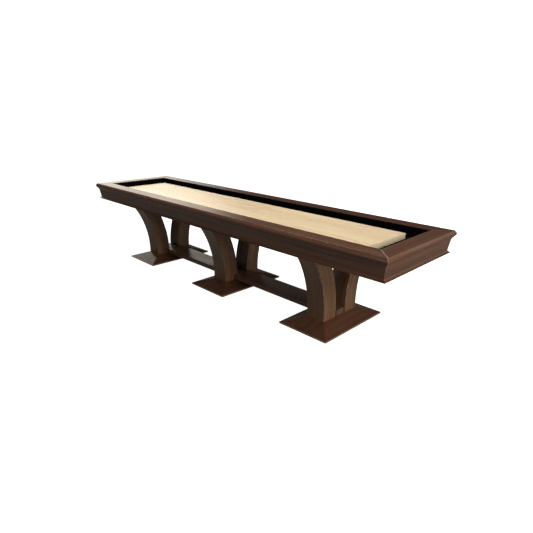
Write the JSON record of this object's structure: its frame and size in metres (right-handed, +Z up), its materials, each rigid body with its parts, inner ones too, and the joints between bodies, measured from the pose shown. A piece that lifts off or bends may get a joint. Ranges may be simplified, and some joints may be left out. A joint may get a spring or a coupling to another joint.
{
  "type": "shuffleboard table",
  "caption": "Long table-top shuffleboard: maple playing board in a carpeted gutter, moulded walnut cabinet, curved-leg pedestals on hipped plinths, low stretcher.",
  "frame": {"origin": "on the floor, under the middle of the table", "axes": "+X along the table towards its right end, -Y towards its front, +Z up"},
  "size_m": [3.698, 0.932, 0.775],
  "materials": {
    "walnut": "satin lacquer, dark walnut stain",
    "maple": "clear gloss over laminated staves",
    "frame_wood": "unfinished sawn hardwood and plywood",
    "black_carpet": "short dense pile",
    "zinc_steel": "zinc plated",
    "black_oxide_steel": "black oxide",
    "foot_black": "moulded nylon"
  },
  "bodies": {
    "table": {"top_rail_front": "walnut", "top_rail_right_end": "walnut", "top_rail_back": "walnut", "top_rail_left_end": "walnut", "apron_front": "walnut", "apron_right_end": "walnut", "apron_back": "walnut", "apron_left_end": "walnut", "base_moulding_front": "walnut", "base_moulding_right_end": "walnut", "base_moulding_back": "walnut", "base_moulding_left_end": "walnut", "gutter_wall_front": "frame_wood", "gutter_wall_right_end": "frame_wood", "gutter_wall_back": "frame_wood", "gutter_wall_left_end": "frame_wood", "gutter_floor_front": "frame_wood", "gutter_floor_right_end": "frame_wood", "gutter_floor_back": "frame_wood", "gutter_floor_left_end": "frame_wood", "gutter_carpet_front": "black_carpet", "gutter_carpet_right_end": "black_carpet", "gutter_carpet_back": "black_carpet", "gutter_carpet_left_end": "black_carpet", "playing_board": "maple", "cross_bearers": "frame_wood", "pedestal_bearer_left": "frame_wood", "pedestal_bearer_middle": "frame_wood", "pedestal_bearer_right": "frame_wood", "leg_left_front": "walnut", "leg_left_back": "walnut", "leg_middle_front": "walnut", "leg_middle_back": "walnut", "leg_right_front": "walnut", "leg_right_back": "walnut", "plinth_left": "walnut", "plinth_middle": "walnut", "plinth_right": "walnut", "stretcher_left": "walnut", "stretcher_right": "walnut", "leg_bolts": "black_oxide_steel", "adjuster_brackets": "zinc_steel", "bracket_screws": "zinc_steel", "foot_inserts": "zinc_steel"},
    "rod_1": {"adjuster_rod_1": "zinc_steel"},
    "rod_2": {"adjuster_rod_2": "zinc_steel"},
    "rod_3": {"adjuster_rod_3": "zinc_steel"},
    "rod_4": {"adjuster_rod_4": "zinc_steel"},
    "pad_left_front": {"foot_pad_left_front": "foot_black"},
    "stud_left_front": {"foot_stud_left_front": "zinc_steel"},
    "pad_left_back": {"foot_pad_left_back": "foot_black"},
    "stud_left_back": {"foot_stud_left_back": "zinc_steel"},
    "pad_middle_front": {"foot_pad_middle_front": "foot_black"},
    "stud_middle_front": {"foot_stud_middle_front": "zinc_steel"},
    "pad_middle_back": {"foot_pad_middle_back": "foot_black"},
    "stud_middle_back": {"foot_stud_middle_back": "zinc_steel"},
    "pad_right_front": {"foot_pad_right_front": "foot_black"},
    "stud_right_front": {"foot_stud_right_front": "zinc_steel"},
    "pad_right_back": {"foot_pad_right_back": "foot_black"},
    "stud_right_back": {"foot_stud_right_back": "zinc_steel"}
  },
  "joints": [
    {"name": "rod_turn_1", "type": "hinge", "parent": "table", "child": "rod_1", "pos_m": [-1.39, 0, 0.6415], "axis": [0, 1, 0], "range_deg": [-360, 360]},
    {"name": "rod_turn_2", "type": "hinge", "parent": "table", "child": "rod_2", "pos_m": [-0.4, 0, 0.6415], "axis": [0, 1, 0], "range_deg": [-360, 360]},
    {"name": "rod_turn_3", "type": "hinge", "parent": "table", "child": "rod_3", "pos_m": [0.4, 0, 0.6415], "axis": [0, 1, 0], "range_deg": [-360, 360]},
    {"name": "rod_turn_4", "type": "hinge", "parent": "table", "child": "rod_4", "pos_m": [1.39, 0, 0.6415], "axis": [0, 1, 0], "range_deg": [-360, 360]},
    {"name": "foot_lift_left_front", "type": "slide", "parent": "table", "child": "pad_left_front", "axis": [0, 0, -1], "range_m": [0, 0.01225]},
    {"name": "foot_turn_left_front", "type": "hinge", "parent": "pad_left_front", "child": "stud_left_front", "pos_m": [-1.145, -0.265, 0], "axis": [0, 0, -1], "range_deg": [0, 2520]},
    {"name": "foot_lift_left_back", "type": "slide", "parent": "table", "child": "pad_left_back", "axis": [0, 0, -1], "range_m": [0, 0.01225]},
    {"name": "foot_turn_left_back", "type": "hinge", "parent": "pad_left_back", "child": "stud_left_back", "pos_m": [-1.145, 0.265, 0], "axis": [0, 0, -1], "range_deg": [0, 2520]},
    {"name": "foot_lift_middle_front", "type": "slide", "parent": "table", "child": "pad_middle_front", "axis": [0, 0, -1], "range_m": [0, 0.01225]},
    {"name": "foot_turn_middle_front", "type": "hinge", "parent": "pad_middle_front", "child": "stud_middle_front", "pos_m": [0, -0.265, 0], "axis": [0, 0, -1], "range_deg": [0, 2520]},
    {"name": "foot_lift_middle_back", "type": "slide", "parent": "table", "child": "pad_middle_back", "axis": [0, 0, -1], "range_m": [0, 0.01225]},
    {"name": "foot_turn_middle_back", "type": "hinge", "parent": "pad_middle_back", "child": "stud_middle_back", "pos_m": [0, 0.265, 0], "axis": [0, 0, -1], "range_deg": [0, 2520]},
    {"name": "foot_lift_right_front", "type": "slide", "parent": "table", "child": "pad_right_front", "axis": [0, 0, -1], "range_m": [0, 0.01225]},
    {"name": "foot_turn_right_front", "type": "hinge", "parent": "pad_right_front", "child": "stud_right_front", "pos_m": [1.145, -0.265, 0], "axis": [0, 0, -1], "range_deg": [0, 2520]},
    {"name": "foot_lift_right_back", "type": "slide", "parent": "table", "child": "pad_right_back", "axis": [0, 0, -1], "range_m": [0, 0.01225]},
    {"name": "foot_turn_right_back", "type": "hinge", "parent": "pad_right_back", "child": "stud_right_back", "pos_m": [1.145, 0.265, 0], "axis": [0, 0, -1], "range_deg": [0, 2520]}
  ],
  "couplings": [
    {"joint": "foot_turn_left_front", "follows": "foot_lift_left_front", "rad_per_m": 3590.3},
    {"joint": "foot_turn_left_back", "follows": "foot_lift_left_back", "rad_per_m": 3590.3},
    {"joint": "foot_turn_middle_front", "follows": "foot_lift_middle_front", "rad_per_m": 3590.3},
    {"joint": "foot_turn_middle_back", "follows": "foot_lift_middle_back", "rad_per_m": 3590.3},
    {"joint": "foot_turn_right_front", "follows": "foot_lift_right_front", "rad_per_m": 3590.3},
    {"joint": "foot_turn_right_back", "follows": "foot_lift_right_back", "rad_per_m": 3590.3}
  ]
}
